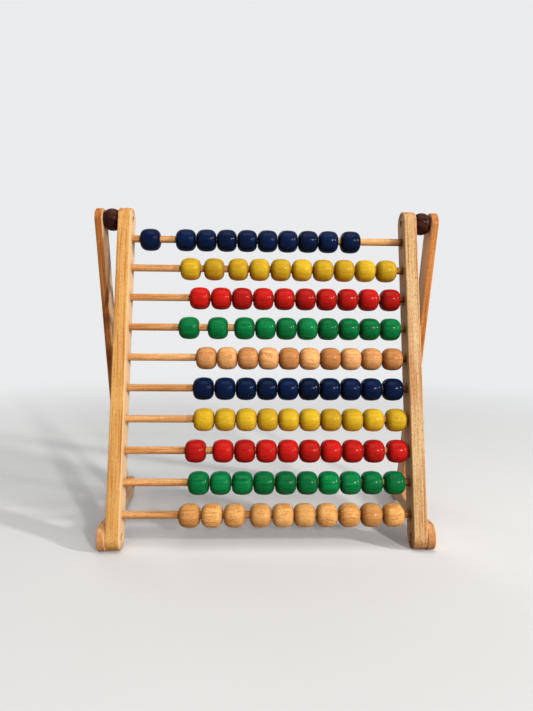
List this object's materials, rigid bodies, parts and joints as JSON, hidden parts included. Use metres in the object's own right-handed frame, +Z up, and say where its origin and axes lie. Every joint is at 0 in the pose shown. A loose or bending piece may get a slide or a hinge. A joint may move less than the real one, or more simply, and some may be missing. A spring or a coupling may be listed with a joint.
{
  "type": "counting abacus",
  "caption": "Wooden counting frame: coloured barrel beads slide on level rods between two leaning uprights, propped by rear legs and foot rails.",
  "frame": {"origin": "on the table, under the middle of the frame's bounding box", "axes": "+X across the frame to the right as seen by the user, +Y to the back, +Z up; the user sits on the -Y side"},
  "size_m": [0.3872, 0.1888, 0.366],
  "materials": {
    "upright_wood": "clear satin lacquer over light hardwood, straight grain along the upright",
    "prop_wood": "clear satin lacquer over a slightly redder hardwood",
    "rod_wood": "clear lacquer over a turned dowel",
    "ball_wood": "dark brown stain under satin lacquer",
    "screw_steel": "zinc plated, slightly dull",
    "bead_blue": "navy stain under satin lacquer, grain showing",
    "bead_yellow": "yellow stain under satin lacquer, grain showing",
    "bead_red": "red stain under satin lacquer, grain showing",
    "bead_green": "green stain under satin lacquer, grain showing",
    "bead_natural": "clear satin lacquer over bare wood"
  },
  "bodies": {
    "frame": {"upright_right": "upright_wood", "upright_left": "upright_wood", "leg_right": "prop_wood", "leg_left": "prop_wood", "foot_rail_right": "prop_wood", "foot_rail_left": "prop_wood", "spacer_ball_right": "ball_wood", "spacer_ball_left": "ball_wood", "screws_top": "screw_steel", "screws_front": "screw_steel", "screws_rear": "screw_steel", "rod_01": "rod_wood", "rod_02": "rod_wood", "rod_03": "rod_wood", "rod_04": "rod_wood", "rod_05": "rod_wood", "rod_06": "rod_wood", "rod_07": "rod_wood", "rod_08": "rod_wood", "rod_09": "rod_wood", "rod_10": "rod_wood"},
    "row_01_left": {"beads_01_left": "bead_blue"},
    "row_01_middle": {"beads_01_middle": "bead_blue"},
    "row_01_right": {"beads_01_right": "bead_blue"},
    "row_02_left": {"beads_02_left": "bead_yellow"},
    "row_02_middle": {"beads_02_middle": "bead_yellow"},
    "row_02_right": {"beads_02_right": "bead_yellow"},
    "row_03_left": {"beads_03_left": "bead_red"},
    "row_03_middle": {"beads_03_middle": "bead_red"},
    "row_03_right": {"beads_03_right": "bead_red"},
    "row_04_left": {"beads_04_left": "bead_green"},
    "row_04_middle": {"beads_04_middle": "bead_green"},
    "row_04_right": {"beads_04_right": "bead_green"},
    "row_05_left": {"beads_05_left": "bead_natural"},
    "row_05_middle": {"beads_05_middle": "bead_natural"},
    "row_05_right": {"beads_05_right": "bead_natural"},
    "row_06_left": {"beads_06_left": "bead_blue"},
    "row_06_middle": {"beads_06_middle": "bead_blue"},
    "row_06_right": {"beads_06_right": "bead_blue"},
    "row_07_left": {"beads_07_left": "bead_yellow"},
    "row_07_middle": {"beads_07_middle": "bead_yellow"},
    "row_07_right": {"beads_07_right": "bead_yellow"},
    "row_08_left": {"beads_08_left": "bead_red"},
    "row_08_middle": {"beads_08_middle": "bead_red"},
    "row_08_right": {"beads_08_right": "bead_red"},
    "row_09_left": {"beads_09_left": "bead_green"},
    "row_09_middle": {"beads_09_middle": "bead_green"},
    "row_09_right": {"beads_09_right": "bead_green"},
    "row_10_left": {"beads_10_left": "bead_natural"},
    "row_10_middle": {"beads_10_middle": "bead_natural"},
    "row_10_right": {"beads_10_right": "bead_natural"}
  },
  "joints": [
    {"name": "row_01_left_slide", "type": "slide", "parent": "frame", "child": "row_01_left", "axis": [1, 0, 0], "range_m": [-0.00864, 0.01589]},
    {"name": "row_01_middle_slide", "type": "slide", "parent": "row_01_left", "child": "row_01_middle", "axis": [1, 0, 0], "range_m": [-0.01705, 0.01589]},
    {"name": "row_01_right_slide", "type": "slide", "parent": "row_01_middle", "child": "row_01_right", "axis": [1, 0, 0], "range_m": [-0.00255, 0.01589]},
    {"name": "row_02_right_slide", "type": "slide", "parent": "frame", "child": "row_02_right", "axis": [1, 0, 0], "range_m": [-0.01817, 0.00742]},
    {"name": "row_02_middle_slide", "type": "slide", "parent": "row_02_right", "child": "row_02_middle", "axis": [1, 0, 0], "range_m": [-0.01817, 0.00423]},
    {"name": "row_02_left_slide", "type": "slide", "parent": "row_02_middle", "child": "row_02_left", "axis": [1, 0, 0], "range_m": [-0.01817, 0.00345]},
    {"name": "row_03_right_slide", "type": "slide", "parent": "frame", "child": "row_03_right", "axis": [1, 0, 0], "range_m": [-0.02184, 0.00385]},
    {"name": "row_03_middle_slide", "type": "slide", "parent": "row_03_right", "child": "row_03_middle", "axis": [1, 0, 0], "range_m": [-0.02184, 0.00181]},
    {"name": "row_03_left_slide", "type": "slide", "parent": "row_03_middle", "child": "row_03_left", "axis": [1, 0, 0], "range_m": [-0.02184, 0.00042]},
    {"name": "row_04_right_slide", "type": "slide", "parent": "frame", "child": "row_04_right", "axis": [1, 0, 0], "range_m": [-0.01807, 0.00461]},
    {"name": "row_04_middle_slide", "type": "slide", "parent": "row_04_right", "child": "row_04_middle", "axis": [1, 0, 0], "range_m": [-0.01807, 0.00649]},
    {"name": "row_04_left_slide", "type": "slide", "parent": "row_04_middle", "child": "row_04_left", "axis": [1, 0, 0], "range_m": [-0.01807, 0.00899]},
    {"name": "row_05_right_slide", "type": "slide", "parent": "frame", "child": "row_05_right", "axis": [1, 0, 0], "range_m": [-0.02462, 0.00318]},
    {"name": "row_05_middle_slide", "type": "slide", "parent": "row_05_right", "child": "row_05_middle", "axis": [1, 0, 0], "range_m": [-0.02462, 0.0008]},
    {"name": "row_05_left_slide", "type": "slide", "parent": "row_05_middle", "child": "row_05_left", "axis": [1, 0, 0], "range_m": [-0.02462, 0.00017]},
    {"name": "row_06_right_slide", "type": "slide", "parent": "frame", "child": "row_06_right", "axis": [1, 0, 0], "range_m": [-0.02373, 0.00381]},
    {"name": "row_06_middle_slide", "type": "slide", "parent": "row_06_right", "child": "row_06_middle", "axis": [1, 0, 0], "range_m": [-0.02373, 0.00078]},
    {"name": "row_06_left_slide", "type": "slide", "parent": "row_06_middle", "child": "row_06_left", "axis": [1, 0, 0], "range_m": [-0.02373, 0.00063]},
    {"name": "row_07_right_slide", "type": "slide", "parent": "frame", "child": "row_07_right", "axis": [1, 0, 0], "range_m": [-0.02411, 0.00117]},
    {"name": "row_07_middle_slide", "type": "slide", "parent": "row_07_right", "child": "row_07_middle", "axis": [1, 0, 0], "range_m": [-0.02411, 0.00218]},
    {"name": "row_07_left_slide", "type": "slide", "parent": "row_07_middle", "child": "row_07_left", "axis": [1, 0, 0], "range_m": [-0.02411, 0.00086]},
    {"name": "row_08_right_slide", "type": "slide", "parent": "frame", "child": "row_08_right", "axis": [1, 0, 0], "range_m": [-0.02132, 0.0009]},
    {"name": "row_08_middle_slide", "type": "slide", "parent": "row_08_right", "child": "row_08_middle", "axis": [1, 0, 0], "range_m": [-0.02132, 0.00248]},
    {"name": "row_08_left_slide", "type": "slide", "parent": "row_08_middle", "child": "row_08_left", "axis": [1, 0, 0], "range_m": [-0.02132, 0.00661]},
    {"name": "row_09_right_slide", "type": "slide", "parent": "frame", "child": "row_09_right", "axis": [1, 0, 0], "range_m": [-0.02262, 0.00499]},
    {"name": "row_09_middle_slide", "type": "slide", "parent": "row_09_right", "child": "row_09_middle", "axis": [1, 0, 0], "range_m": [-0.02262, 0.00144]},
    {"name": "row_09_left_slide", "type": "slide", "parent": "row_09_middle", "child": "row_09_left", "axis": [1, 0, 0], "range_m": [-0.02262, 0.00015]},
    {"name": "row_10_right_slide", "type": "slide", "parent": "frame", "child": "row_10_right", "axis": [1, 0, 0], "range_m": [-0.01959, 0.00679]},
    {"name": "row_10_middle_slide", "type": "slide", "parent": "row_10_right", "child": "row_10_middle", "axis": [1, 0, 0], "range_m": [-0.01959, 0.00012]},
    {"name": "row_10_left_slide", "type": "slide", "parent": "row_10_middle", "child": "row_10_left", "axis": [1, 0, 0], "range_m": [-0.01959, 0.00471]}
  ]
}
